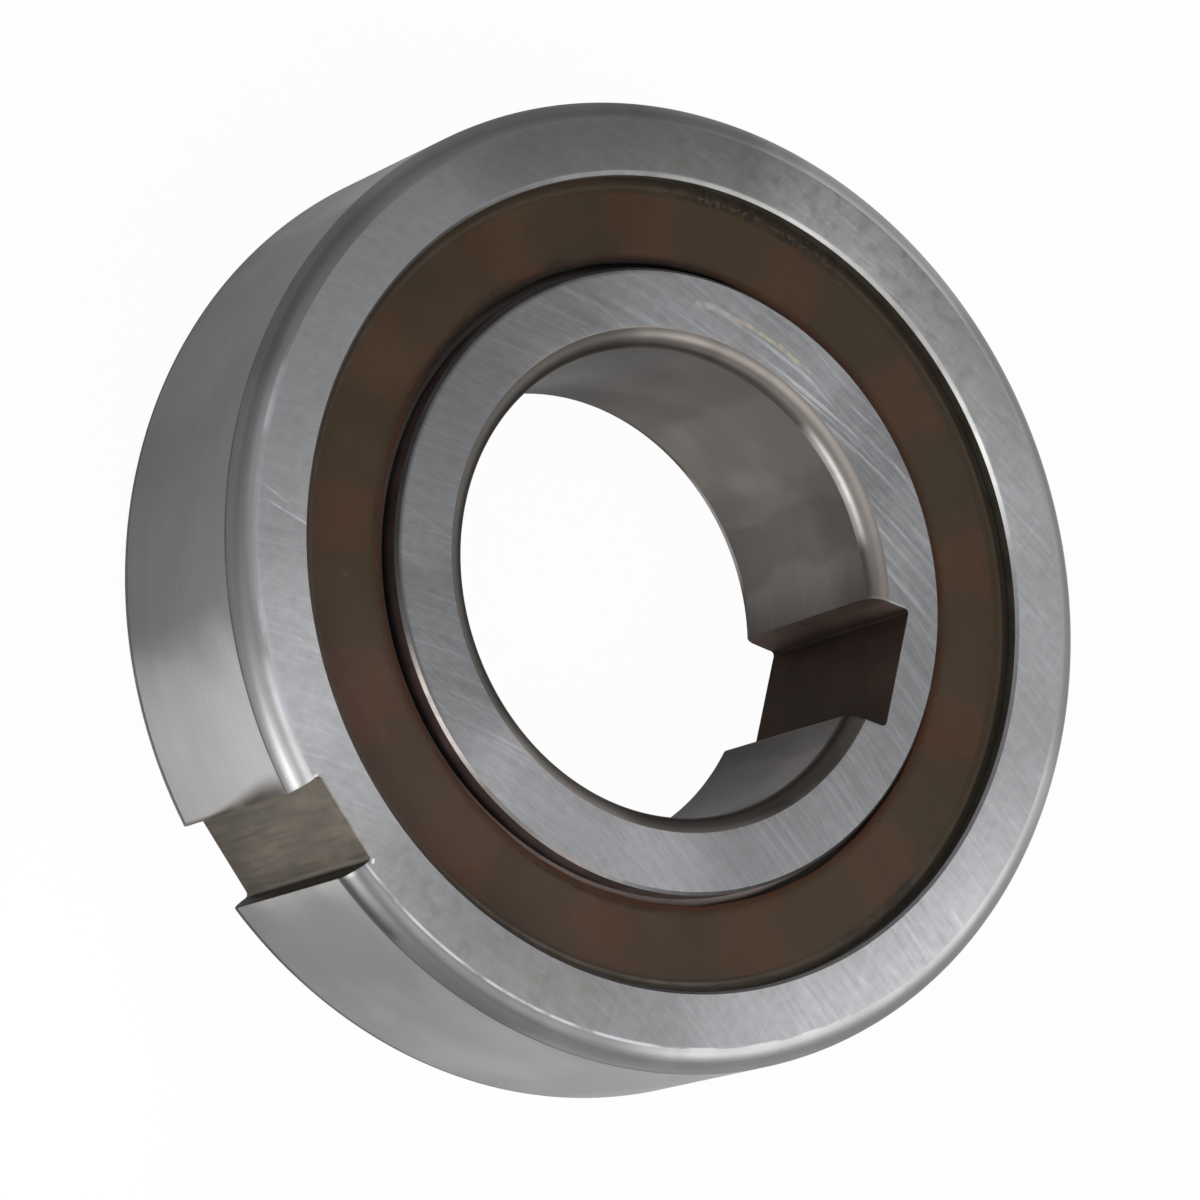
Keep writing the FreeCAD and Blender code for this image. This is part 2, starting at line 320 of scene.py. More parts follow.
def make_side_patch():
    """Group: a patch on one side of a round surface, where painted highlight or shade, soil or a mark lies.
    The mask goes by the cosine of the angle between a place and Toward, from 0 at Outer to 1 at Inner, and
    noise makes its border uneven."""
    group, given, out, place = new_group("side_patch", "Mask", ("Outer", "Inner"), ("Toward",))
    heading = vectored(group, "NORMALIZE", vectored(group, "MULTIPLY", place, level))
    along = vectored(group, "DOT_PRODUCT", heading, given["Toward"])
    uneven = ranged(group, noise_at(group, place, 160.0, 2.0), 0.3, 0.7, -0.006, 0.006)
    cosine = combined(group, "ADD", along, uneven)
    group.links.new(ranged(group, cosine, given["Outer"], given["Inner"], 0.0, 1.0), out)
    return group


def make_scratch():
    """Group: one straight scratch. The mask goes by the distance to the line from Start to End, which is
    the length left when the nearest place on the line is taken away, and noise thins it."""
    group, given, out, place = new_group("scratch", "Mask", ("Width",), ("Start", "End"))
    line = vectored(group, "SUBTRACT", given["End"], given["Start"])
    away = vectored(group, "SUBTRACT", place, given["Start"])
    onto = vectored(group, "DOT_PRODUCT", away, line)
    share = combined(group, "DIVIDE", onto, vectored(group, "DOT_PRODUCT", line, line))
    held = combined(group, "MINIMUM", combined(group, "MAXIMUM", share, 0.0), 1.0)
    left = vectored(group, "SUBTRACT", away, vectored(group, "SCALE", line, scale=held))
    far = combined(group, "DIVIDE", vectored(group, "LENGTH", left), given["Width"])
    near = ranged(group, far, 0.2, 1.0, 1.0, 0.0)
    thinned = ranged(group, noise_at(group, place, 1500.0, 2.0), 0.40, 0.65, 1.0, 0.35)
    group.links.new(combined(group, "MULTIPLY", near, thinned), out)
    return group


arc_lines = make_arc_lines()
stains = make_stains()
rim_marks = make_rim_marks()
side_patch = make_side_patch()
scratch = make_scratch()


def placed(tree, group, **values):
    """Output of a node group in a material, with its inputs set."""
    node = tree.nodes.new("ShaderNodeGroup")
    node.node_tree = group
    fill(tree, node, values)
    return node.outputs[0]


def mixed(tree, factor, first, second):
    """Two colours blended by a mask; either may be a plain colour."""
    node = tree.nodes.new("ShaderNodeMix")
    node.data_type = "RGBA"
    tree.links.new(factor, node.inputs["Factor"])
    colours = [socket for socket in node.inputs if socket.type == "RGBA"]
    for socket, colour in zip(colours, (first, second)):
        feed(tree, socket, (*colour, 1.0) if isinstance(colour, tuple) else colour)
    return next(socket for socket in node.outputs if socket.type == "RGBA")


def one_side(tree, turn, reach, core):
    """Mask of one side of a ring: 1 within core degrees of its turn, 0 beyond reach."""
    toward = (math.cos(math.radians(turn)), math.sin(math.radians(turn)), 0.0)
    outer, inner = math.cos(math.radians(reach)), math.cos(math.radians(core))
    return placed(tree, side_patch, Toward=toward, Outer=outer, Inner=inner)


def painted_light(tree, lit, patches):
    """Painted highlight and shade: brightness changed on one side or more, each with its turn, reach and
    core and its factor.
    """
    for turn, reach, core, factor in patches:
        changed = ranged(tree, one_side(tree, turn, reach, core), 0.0, 1.0, 1.0, factor)
        lit = combined(tree, "MULTIPLY", lit, changed)
    return lit


def edge_mask(tree, radius, height, width, ragged, *side):
    """Mask of a line along a circular edge, with the turn, reach and core of one side where it doesn't
    go all round."""
    mask = placed(tree, rim_marks, Radius=radius, Height=height, Width=width, Ragged=ragged)
    return combined(tree, "MULTIPLY", mask, one_side(tree, *side)) if side else mask


def marked(tree, shade, marks):
    """Lines along circular edges, each with its radius, height, width, raggedness, colour and side."""
    for radius, height, width, ragged, mark_colour, *side in marks:
        shade = mixed(tree, edge_mask(tree, radius, height, width, ragged, *side), shade, mark_colour)
    return shade


def bumped(tree, height, depth):
    """Normal from a height, with its real depth in metres."""
    node = tree.nodes.new("ShaderNodeBump")
    fill(tree, node, {"Height": height, "Distance": depth})
    return node.outputs[0]


def streaked(tree, changes, detail):
    """Noise with its own number of changes per metre along X, Y and Z."""
    return noise_at(tree, vectored(tree, "MULTIPLY", object_place(tree), changes), 1.0, detail)


def face_ground_steel(name, colour, sweeps, marks, scratches, patches, soiled, bump_depth):
    """Face of a ring: fine and strong lines of each wheel sweep over satin steel, patches of painted highlight
    and shade, brown soil on the soiled sides, then lines along its edges, which are wear, marks, painted
    highlights and painted shade, and its scratches, each from one place to another in metres."""
    material, tree, shader = new_material(name)
    scored = None
    for centre, density, fade, fine_weight, strong_weight in sweeps:
        lines = placed(tree, arc_lines, Centre=centre, Density=density, Fade=fade)
        fine = ranged(tree, lines, 0.25, 0.75, -fine_weight, fine_weight)
        both = combined(tree, "ADD", fine, ranged(tree, lines, 0.57, 0.72, 0.0, strong_weight))
        scored = both if scored is None else combined(tree, "ADD", scored, both)
    place = object_place(tree)
    blotch = ranged(tree, placed(tree, stains, Size=85.0), 0.0, 1.0, -0.05, 0.04)
    grit = ranged(tree, noise_at(tree, place, 1400.0, 2.0), 0.3, 0.7, 0.95, 1.05)
    lit = combined(tree, "ADD", combined(tree, "ADD", grit, blotch), scored)
    shade = vectored(tree, "SCALE", colour, scale=painted_light(tree, lit, patches))
    for side in soiled:
        specks = ranged(tree, noise_at(tree, place, 900.0, 5.0), 0.43, 0.75, 0.0, 0.46)
        soil = combined(tree, "MULTIPLY", specks, one_side(tree, *side))
        shade = mixed(tree, soil, shade, soil_colour)
    shade = marked(tree, shade, marks)
    for start, end, width, mark_colour in scratches:
        mask = placed(tree, scratch, Start=(*start, half_width), End=(*end, half_width), Width=width)
        shade = mixed(tree, mask, shade, mark_colour)
    gloss = ranged(tree, scored, -0.2, 0.4, 0.40, 0.28)
    normal = bumped(tree, scored, bump_depth)
    fill(tree, shader, {"Base Color": shade, "Roughness": gloss, "Normal": normal, "Metallic": 1.0})
    return material


def turned_steel(
    name, colour, line_density, contrast, roughness, marks=(), patches=(), depth=0.0, cloud=(0.93, 1.05),
):
    """Round surface of a ring: fine lines along the turn, which change fast along the axis and with the
    radius, soft blotches, patches of painted highlight and shade, and lines along its edges, which are
    seams, wear, painted highlights and painted shade."""
    material, tree, shader = new_material(name)
    around = 60.0
    lines = streaked(tree, (around, around, line_density), 3.0)
    blotch = placed(tree, stains, Size=75.0)
    fine = ranged(tree, lines, 0.3, 0.7, 1.0 - contrast, 1.0 + contrast)
    lit = combined(tree, "MULTIPLY", fine, ranged(tree, blotch, 0.0, 1.0, *cloud))
    shade = vectored(tree, "SCALE", colour, scale=painted_light(tree, lit, patches))
    gloss = ranged(tree, blotch, 0.0, 1.0, roughness + 0.04, roughness - 0.03)
    fill(tree, shader, {"Base Color": marked(tree, shade, marks), "Roughness": gloss, "Metallic": 1.0})
    if depth:
        fill(tree, shader, {"Normal": bumped(tree, lines, depth)})
    return material


def cut_steel(name, colour, changes, contrast, roughness):
    """Floor and sides of a cut channel: the cutter's streaks along it and the oil that was left in them."""
    material, tree, shader = new_material(name)
    lines = streaked(tree, changes, 4.0)
    blotch = placed(tree, stains, Size=260.0)
    streak = ranged(tree, lines, 0.3, 0.7, 1.0 - contrast, 1.0 + contrast)
    lit = combined(tree, "MULTIPLY", streak, ranged(tree, blotch, 0.0, 1.0, 0.86, 1.08))
    shade = vectored(tree, "SCALE", colour, scale=lit)
    gloss = ranged(tree, lines, 0.3, 0.7, roughness - 0.06, roughness + 0.08)
    normal = bumped(tree, lines, 0.000008)
    fill(tree, shader, {"Base Color": shade, "Roughness": gloss, "Normal": normal, "Metallic": 0.9})
    return material


def smoothed(name, mesh, joined_within, crease):
    """Object of a mesh with its doubled points joined, shaded smoothly but for edges above the crease."""
    work = bmesh.new()
    work.from_mesh(mesh)
    bmesh.ops.remove_doubles(work, verts=work.verts, dist=joined_within)
    work.to_mesh(mesh)
    work.free()
    mesh.shade_smooth()
    mesh.set_sharp_from_angle(angle=math.radians(crease))
    return linked(name, mesh)


def closed_grid(name, grid, region, materials):
    """Mesh object on a grid that closes both ways, with its doubled points joined and its faces turned
    outwards; region gives each cell's material."""
    columns, rows = grid.shape[:2]
    number = np.arange(columns * rows).reshape(columns, rows)
    right = np.roll(number, -1, axis=0)
    up = np.roll(number, -1, axis=1)
    quads = np.stack([number, right, np.roll(right, -1, axis=1), up], axis=-1).reshape(-1, 4)
    points = grid.reshape(-1, 3)
    a, b, c, d = (points[quads[:, k]] for k in range(4))
    volume = (a * np.cross(b, c)).sum() + (a * np.cross(c, d)).sum()
    if volume < 0:
        quads = quads[:, ::-1]
    mesh = bpy.data.meshes.new(name)
    mesh.from_pydata(points.tolist(), [], quads.tolist())
    for material in materials:
        mesh.materials.append(material)
    mesh.polygons.foreach_set("material_index", region.reshape(-1).astype(np.int32))
    return smoothed(name, mesh, joined_within=0.0000002, crease=30)


def carved_ring(name, ring, turned, materials):
    """Closed ring between a turned side and a carved side, as columns round it and rows over it.

    The faces fall away by crown times the square of the share of the way to the carved side. A row goes
    down the turned side by its section of radii and heights, out over the rear face, along the carved side
    and back over the front face. On the carved side a round column ends in a quarter circle,
    z = H - R + R cos t at radius E + R sin t. A column in the channel ends at the channel's floor with a
    small quarter circle of its own. Columns leave the channel's sides parallel to them and swing to the
    radius by a smooth share, so that the sides are flat. The materials are those of the ground faces, the
    round side, the channel's floor, the rounded edges, the turned side and the channel's sides.
    """
    sign = math.copysign(1.0, ring["carved"] - turned[0][0])
    rim = turned[0][0]
    half_channel, floor_at = ring["half_channel"], ring["floor"]
    corner, small = ring["corner"], ring["edge_break"]
    carved, edge, high = ring["carved"], ring["edge"], ring["half_width"]
    corner_steps, ramp_steps, bend_steps = 6, 4, 15
    start = carved - sign * edge
    inner_x = floor_at - sign * small * 2.0
    meeting = math.hypot(inner_x, half_channel)

    first = math.asin((half_channel + small) / carved)
    swing = np.linspace(first, 2 * math.pi - first, ring["columns"])
    from_channel = np.minimum(swing, 2 * math.pi - swing) - first
    share = 1.0 - np.clip(from_channel / ring["swing"], 0.0, 1.0)
    share = share ** 2 * (3.0 - 2.0 * share)
    soft = 1.0 - math.sqrt(0.5)
    side_y = np.array([-half_channel - small * soft, -half_channel])
    side_inset = np.array([small * soft, small])
    quarter = np.linspace(0.0, math.pi / 2, corner_steps)
    bend_y = -half_channel + corner * (1.0 - np.cos(quarter))
    bend_floor = floor_at + sign * corner * (1.0 - np.sin(quarter))
    flat_y = np.linspace(bend_y[-1], -bend_y[-1], ring["floor_columns"])[1:-1]
    channel_y = np.concatenate([bend_y, flat_y, -bend_y[::-1]])
    channel_floor = np.concatenate([bend_floor, np.full(flat_y.shape, floor_at), bend_floor[::-1]])
    angle = np.concatenate([swing, np.arcsin(side_y / carved), np.arcsin(-side_y[::-1] / carved)])
    along = np.concatenate([share, np.ones(2 * len(side_y))])
    inset = np.concatenate([np.zeros(swing.shape), side_inset, side_inset[::-1]])

    lane = np.linspace(0.0, 1.0, ring["face_rows"])
    ramp = np.linspace(0.0, 1.0, ramp_steps)[1:]
    bend = np.linspace(0.0, math.pi / 2, bend_steps)[1:]
    down = np.array([0.97, 0.85, 0.55, 0.2, -0.2, -0.55, -0.85, -0.97, -1.0])

    def polar(radius, offset, heading, parallel):
        """Points at a radius on columns that are parallel to X at the channel and radial away from it."""
        turn = parallel * np.arcsin(np.clip(offset / radius, -1.0, 1.0)) + (1.0 - parallel) * heading
        return np.stack([radius * np.cos(turn), radius * np.sin(turn)], axis=-1)

    angle = np.where(angle > math.pi, angle - 2 * math.pi, angle)
    heading, parallel, cut = angle[:, None], along[:, None], inset[:, None]
    offset = carved * np.sin(heading)
    near = polar(rim, offset, heading, parallel)
    joint = polar(meeting, offset, heading, parallel)
    lane_points = near + lane[None, :, None] * (joint - near)
    ramp_radius = meeting + ramp[None, :] * (start - meeting)
    bend_radius = start + sign * (edge - cut) * np.sin(bend)[None, :]
    bend_height = high - edge + (edge - cut) * np.cos(bend)[None, :]
    end_radius = np.repeat(carved - sign * cut, len(down), axis=1)
    beyond = (ramp_radius, bend_radius, end_radius)
    beyond_points = [polar(radius, offset, heading, parallel) for radius in beyond]
    round_plan = np.concatenate([lane_points, *beyond_points], axis=1)
    round_height = np.concatenate([
        np.full((len(angle), len(lane)), high), np.repeat(high - cut, len(ramp), axis=1), bend_height,
        np.repeat((down * (high - edge))[None, :], len(angle), axis=0),
    ], axis=1)

    y = channel_y[:, None]
    near_x = np.sqrt(rim ** 2 - y ** 2)
    stop = channel_floor[:, None] - sign * small
    channel_x = np.concatenate([
        near_x + lane[None, :] * (inner_x - near_x), inner_x + ramp[None, :] * (stop - inner_x),
        stop + sign * small * np.sin(bend)[None, :], np.repeat(stop + sign * small, len(down), axis=1),
    ], axis=1)
    channel_plan = np.stack([channel_x, np.repeat(y, channel_x.shape[1], axis=1)], axis=-1)
    channel_height = np.concatenate([
        np.full(len(lane) + len(ramp), high), high - small + small * np.cos(bend), down * (high - small),
    ])[None, :].repeat(len(channel_y), axis=0)

    turns, sides = len(swing), len(side_y)
    order = [slice(0, turns), slice(turns, turns + sides), None, slice(turns + sides, turns + 2 * sides)]
    plan = np.concatenate([channel_plan if part is None else round_plan[part] for part in order])
    height = np.concatenate([channel_height if part is None else round_height[part] for part in order])
    out = np.clip((np.hypot(plan[..., 0], plan[..., 1]) - rim) / (start - rim), 0.0, 1.0)
    height = np.where(height > 0.5 * high, height - ring["crown"] * out ** 2, height)
    front_rows = len(lane) + len(ramp) + len(bend)
    front = np.concatenate([plan[:, :front_rows], height[:, :front_rows, None]], axis=2)[:, 1:]
    wall = np.concatenate([plan[:, front_rows:-1], height[:, front_rows:-1, None]], axis=2)
    rear = front * np.array([1.0, 1.0, -1.0])
    heading = np.arctan2(plan[:, 0, 1], plan[:, 0, 0])
    side = np.stack([np.cos(heading), np.sin(heading)], axis=1)
    lathe = np.concatenate([
        side[:, None, :] * turned[0][None, :, None],
        np.repeat(turned[1][None, :, None], len(heading), axis=0),
    ], axis=2)
    grid = np.concatenate([lathe, rear, wall[:, ::-1], front[:, ::-1]], axis=1)
    cosine, sine = math.cos(ring["twist"]), math.sin(ring["twist"])
    grid[..., :2] = grid[..., :2] @ np.array([[cosine, sine], [-sine, cosine]])

    # Where each material goes, by its number in the list of materials
    on_face, on_round, on_floor, on_edge, on_turned, on_wall = range(6)
    turned_strip = np.full(len(turned[0]) - 3, on_turned)
    face_strip = np.full(len(lane) + len(ramp) - 1, on_face)
    strips = []
    for bend_material, wall_material in ((on_edge, on_round), (on_floor, on_floor)):
        bend_strip = np.full(len(bend), bend_material)
        wall_strip = np.full(wall.shape[1] + 1, wall_material)
        strips.append(np.concatenate([
            [on_face], turned_strip, [on_face], face_strip, bend_strip, wall_strip, bend_strip, face_strip,
        ])[:grid.shape[1]])
    region = np.repeat(strips[0][None, :], grid.shape[0], axis=0)
    region[turns + sides - 1:-sides] = strips[1]
    for cells in (slice(turns + sides - 1, turns + sides + 1), slice(-sides - 2, -sides)):
        region[cells] = np.where(region[cells] == on_floor, on_wall, region[cells])
    return closed_grid(name, grid, region, materials)


# Outer ring
# One ring of bearing steel with rounded edges, a slot milled across its outside for a holding key, a
# groove for the balls and, behind it, a plain track for the sprags.
ring_low, ring_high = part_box("outer_ring")
shield_low, shield_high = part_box("front_shield")
ball_low, ball_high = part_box("ball_01")
outer_radius = -ring_low.x
half_width = ring_high.z
outer_edge = 0.0014
slot_half_width = 0.0030
slot_depth = 0.0020
cut_corner = 0.0003
edge_break = 0.00006
face_crown = 0.00010
shield_groove = 0.00032
shield_play = 0.00003
shoulder_step = 0.00075
mouth_bevel = 0.0002
bore_radius = 0.015
ball_radius = (ball_high.z - ball_low.z) / 2
ball_height = (ball_high.z + ball_low.z) / 2
shield_radius = shield_high.x
outer_track = shield_radius - shield_groove
ball_circle = (outer_radius + bore_radius) / 2
groove_play = 0.00005
groove_share = 0.52
groove_radius = groove_share * 2 * ball_radius
shoulder_reach = 0.003575
track_start = ball_height - shoulder_reach
step_height = 0.0001
groove_steps = 25


def grooved_side(track, shoulder, groove_centre, mouth):
    """Section of a ring's turned side, from its front mouth to its rear one, as radii and heights.

    The ball groove is an arc of groove_radius about (groove_centre, ball_height), cut into the shoulder,
    and behind it the section steps to the plain track."""
    away = math.copysign(1.0, shoulder - groove_centre)
    swing = math.acos(abs(shoulder - groove_centre) / groove_radius)
    arc = np.linspace(swing, -swing, groove_steps)
    arc_radius = groove_centre + away * groove_radius * np.cos(arc)
    arc_height = ball_height + groove_radius * np.sin(arc)
    bevel = math.copysign(mouth_bevel, away)
    before = mouth + [(shoulder, mouth[-1][1] - step_height)]
    after = [
        (shoulder, track_start), (track, track_start - step_height), (track, -half_width / 2),
        (track, mouth_bevel - half_width), (track + bevel, -half_width),
    ]
    radius = np.concatenate([[p[0] for p in before], arc_radius, [p[0] for p in after]])
    height = np.concatenate([[p[1] for p in before], arc_height, [p[1] for p in after]])
    return radius, height


# Each sweep's centre, lines per metre, changes along them and the weight of its fine and strong lines
outer_sweeps = [
    ((0.066, 0.030, 0.0), 4400.0, 190.0, 0.045, 0.065),
    ((0.160, 0.060, 0.0), 2700.0, 260.0, 0.035, 0.070),
    ((-0.070, 0.160, 0.0), 5200.0, 110.0, 0.015, 0.03),
]
face_border = (outer_radius - outer_edge, half_width - face_crown)
outside_border = (outer_radius, half_width - outer_edge)
mouth_edge = (outer_track + mouth_bevel / 2, half_width - mouth_bevel / 2)

# Each mark's radius, height, width, raggedness and colour, then its side's turn, reach and core
# Bright lines along the worn edge of the outer face, only on the sides where it catches the light: wear with a
# painted highlight
worn_edge_and_highlight_marks = [
    (*face_border, 0.00032, 0.70, (0.36, 0.36, 0.39), -34, 30, 14),
    (*face_border, 0.00014, 0.90, (0.48, 0.48, 0.50), 42, 44, 30),
]
# Painted highlight along the bevel of the outer ring's mouth, on one side
mouth_highlight = (*mouth_edge, 0.00026, 0.30, (0.62, 0.62, 0.60), 213, 62, 42)
bright_scratch = (0.46, 0.46, 0.48)
# Burrs at the slot's corners, painted bright as their glint
burr_glint_colour = (0.75, 0.75, 0.73)
outer_scratches = [
    ((0.0221, -0.0202), (0.0211, -0.0177), 0.00011, bright_scratch),
    ((0.0223, -0.0187), (0.0207, -0.0159), 0.00010, bright_scratch),
    ((0.0220, -0.0205), (0.0228, -0.0196), 0.00020, bright_scratch),
    ((0.0292, -0.0031), (0.0298, -0.0032), 0.00018, burr_glint_colour),
    ((0.0289, 0.0031), (0.0290, 0.0032), 0.00018, burr_glint_colour),
]

# Each patch of painted highlight or shade: its turn, reach and core in degrees and its factor
# Painted highlight and shade across the outer ring's face, brighter on some sides and darker on others
painted_light_outer_face = [
    (240, 34, 10, 0.72), (30, 34, 5, 0.82), (150, 22, 6, 1.15), (342, 18, 5, 1.14), (190, 16, 5, 0.95),
    (206, 16, 6, 1.27), (62, 14, 4, 0.92),
]
soiled_outer = [(208, 42, 20), (28, 30, 14)]
outer_face_steel = face_ground_steel(
    "outer_face_steel", (0.271, 0.273, 0.282), outer_sweeps, [*worn_edge_and_highlight_marks, mouth_highlight], outer_scratches,
    painted_light_outer_face, soiled_outer, bump_depth=0.000002,
)
seam_colour = (0.095, 0.096, 0.082)
outside_marks = [(*outside_border, 0.00016, 0.35, seam_colour)]
# Painted highlights on the outside of the outer ring, beside the slot and on three other sides
painted_light_outside = [(-10, 21, 0, 2.0), (16, 14, 4, 1.15), (64, 50, 12, 1.74), (270, 13, 3, 1.55)]
outside_steel = turned_steel(
    "outside_steel", (0.226, 0.224, 0.222), line_density=7000.0, contrast=0.035, roughness=0.31,
    marks=outside_marks, patches=painted_light_outside, depth=0.0000005,
)
# On the outer ring's rounding: painted shade just beside the slot, painted highlights on three sides, the dark
# seam, and the face's worn edge lines with their painted highlight
edge_marks_and_painted_light = [
    (*outside_border, 0.00100, 0.20, (0.060, 0.060, 0.059), 9, 10, 4),
    (*outside_border, 0.00100, 0.20, (0.350, 0.350, 0.340), 48, 18, 8),
    (*face_border, 0.00100, 0.30, (0.430, 0.430, 0.432), -11, 11, 4),
    (*face_border, 0.00100, 0.30, (0.460, 0.460, 0.455), 82, 38, 22),
    (*outside_border, 0.00012, 0.35, seam_colour),
    *worn_edge_and_highlight_marks,
]
# Painted highlight and shade on the outer ring's rounding, side by side round it
painted_light_outer_edge = [
    (178, 74, 40, 1.78), (90, 46, 22, 1.8), (200, 18, 8, 1.4), (232, 14, 4, 0.65), (292, 18, 6, 0.76),
    (347, 15, 3, 1.10), (22, 26, 12, 0.86), (45, 12, 4, 1.25),
]
outer_edge_steel = turned_steel(
    "outer_edge_steel", (0.186, 0.185, 0.186), line_density=9000.0, contrast=0.06, roughness=0.50,
    marks=edge_marks_and_painted_light, patches=painted_light_outer_edge,
)
slot_steel = cut_steel(
    "slot_steel", (0.127, 0.110, 0.087), changes=(2600.0, 2600.0, 260.0), contrast=0.22, roughness=0.44,
)
# The slot's sides: a copy of its cut steel painted almost black as shade
slot_side_shaded_steel = cut_steel(
    "slot_side_shaded_steel", (0.020, 0.014, 0.010), changes=(1400.0, 1400.0, 90.0), contrast=0.12, roughness=0.50,
)
# Painted shade: the turned sides under the films are painted almost black. Painted highlights: a light band on the
# outer ring's mouth wall above the film, and the line along the mouth's bevel
shaded_track_look = {"colour": (0.030, 0.026, 0.023), "line_density": 9000.0, "contrast": 0.05, "roughness": 0.34}
outer_wall_highlights = [(outer_track, half_width - 0.0005, 0.00110, 0.25, (0.42, 0.41, 0.38)), mouth_highlight]
outer_track_steel = turned_steel("outer_track_steel", marks=outer_wall_highlights, **shaded_track_look)
stain_colour = (0.045, 0.032, 0.022)


def stain_beside_slot(material):
    """Brown stain on the outside along one edge of the slot, widest by the front: a mask that falls off
    with the distance from the slot's edge, broken by noise, over the steel's own colour."""
    tree = material.node_tree
    colour_in = tree.nodes["Principled BSDF"].inputs["Base Color"]
    place = object_place(tree)
    axes = split(tree, place)
    below = combined(tree, "MULTIPLY", axes["Y"], -1.0)
    beyond = combined(tree, "ABSOLUTE", combined(tree, "SUBTRACT", below, slot_half_width))
    spread = ranged(tree, axes["Z"], -0.004, 0.006, 0.0003, 0.0016)
    near = ranged(tree, combined(tree, "DIVIDE", beyond, spread), 0.15, 1.1, 1.0, 0.0)
    at_slot = combined(tree, "GREATER_THAN", axes["X"], 0.0)
    broken = ranged(tree, noise_at(tree, place, 240.0, 1.0), 0.3, 0.55, 0.75, 1.0)
    mask = combined(tree, "MULTIPLY", combined(tree, "MULTIPLY", near, at_slot), broken)
    plain = colour_in.links[0].from_socket
    tree.links.new(mixed(tree, mask, plain, stain_colour), colour_in)


stain_beside_slot(outside_steel)
outer_mouth = [
    (outer_track + mouth_bevel, half_width),
    (outer_track, half_width - mouth_bevel),
    (outer_track, shield_high.z + shield_play),
    (shield_radius + shield_play, shield_high.z + shield_play),
    (shield_radius + shield_play, shield_low.z - shield_play),
    (outer_track - shoulder_step, shield_low.z - shield_play),
]
groove_reach = groove_radius - ball_radius - groove_play
outer_side = grooved_side(outer_track, outer_track - shoulder_step, ball_circle - groove_reach, outer_mouth)
outer_shape = {
    "carved": outer_radius, "edge": outer_edge, "half_width": half_width, "half_channel": slot_half_width,
    "floor": outer_radius - slot_depth, "corner": cut_corner, "edge_break": edge_break, "columns": 720,
    "swing": math.radians(12), "floor_columns": 24, "face_rows": 13, "twist": 0.0, "crown": face_crown,
}
outer_piece = carved_ring(
    "outer_ring_ground", outer_shape, outer_side,
    [outer_face_steel, outside_steel, slot_steel, outer_edge_steel, outer_track_steel, slot_side_shaded_steel],
)
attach(outer_piece, "outer_ring")
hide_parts("outer_ring")

# Inner ring
# The smaller of the two rings: a keyed bore with rounded edges inside, the inner ball groove and the
# inner sprag track outside. The broached keyway is one steel in two shades, its floor painted dark as shade.
bore_edge = 0.0011
keyway_half_width = 0.0040
keyway_depth = 0.0021
keyway_angle = math.radians(130.0)
land_drop = 0.0004
inner_track = 2 * ball_circle - outer_track
inner_sweeps = [
    ((0.0479, 0.0219, 0.0), 3300.0, 95.0, 0.10, 0.21),
    ((0.0600, 0.0100, 0.0), 7000.0, 120.0, 0.07, 0.10),
    ((-0.020, -0.070, 0.0), 4200.0, 150.0, 0.015, 0.03),
]
bore_border = (bore_radius + bore_edge, half_width)
land_border = (inner_track - mouth_bevel / 2, half_width - mouth_bevel / 2)
# On the inner ring's face: painted shade along the land's border on one side, a painted highlight on the land's
# bevel on another, and a tan line along the bore's border
inner_marks_and_painted_light = [
    (*land_border, 0.00045, 0.15, (0.060, 0.059, 0.062), -62, 72, 40),
    (*land_border, 0.00022, 0.60, (0.27, 0.235, 0.21), 12, 36, 18),
    (*bore_border, 0.00018, 0.60, (0.27, 0.25, 0.23), 250, 40, 20),
]
pale_scuff = (0.36, 0.36, 0.35)
scuff_colour = (0.38, 0.35, 0.28)
inner_scratches = [
    ((-0.0122, -0.0134), (-0.0130, -0.0127), 0.00034, pale_scuff),
    ((-0.0130, -0.0127), (-0.0137, -0.0117), 0.00028, pale_scuff),
    ((-0.0137, -0.0117), (-0.0147, -0.0103), 0.00022, scuff_colour),
    ((-0.0147, -0.0103), (-0.0157, -0.0085), 0.00020, scuff_colour),
    ((-0.0157, -0.0085), (-0.0165, -0.0064), 0.00017, scuff_colour),
    ((-0.0160, -0.0083), (-0.0169, -0.0056), 0.00012, scuff_colour),
]
# Painted highlight and shade across the inner ring's face
painted_light_inner_face = [
    (215, 46, 12, 1.20), (30, 42, 10, 1.36), (305, 42, 15, 0.84), (-14, 26, 8, 0.78), (100, 60, 20, 0.87),
    (180, 16, 4, 0.84),
]
inner_face_steel = face_ground_steel(
    "inner_face_steel", (0.203, 0.205, 0.213), inner_sweeps, inner_marks_and_painted_light, inner_scratches, painted_light_inner_face, [],
    bump_depth=0.000003,
)
# Painted highlights and painted shade in the bore, with a painted shadow just below the keyway
painted_light_bore = [
    (186, 48, 14, 2.1), (193, 16, 6, 1.28), (165, 9, 2, 0.78), (246, 22, 8, 0.76), (98, 16, 6, 1.12),
    (112, 8, 3, 0.66),
]
bore_steel = turned_steel(
    "bore_steel", (0.128, 0.116, 0.107), line_density=5000.0, contrast=0.04, roughness=0.30,
    patches=painted_light_bore, depth=0.0000005, cloud=(0.80, 1.12),
)
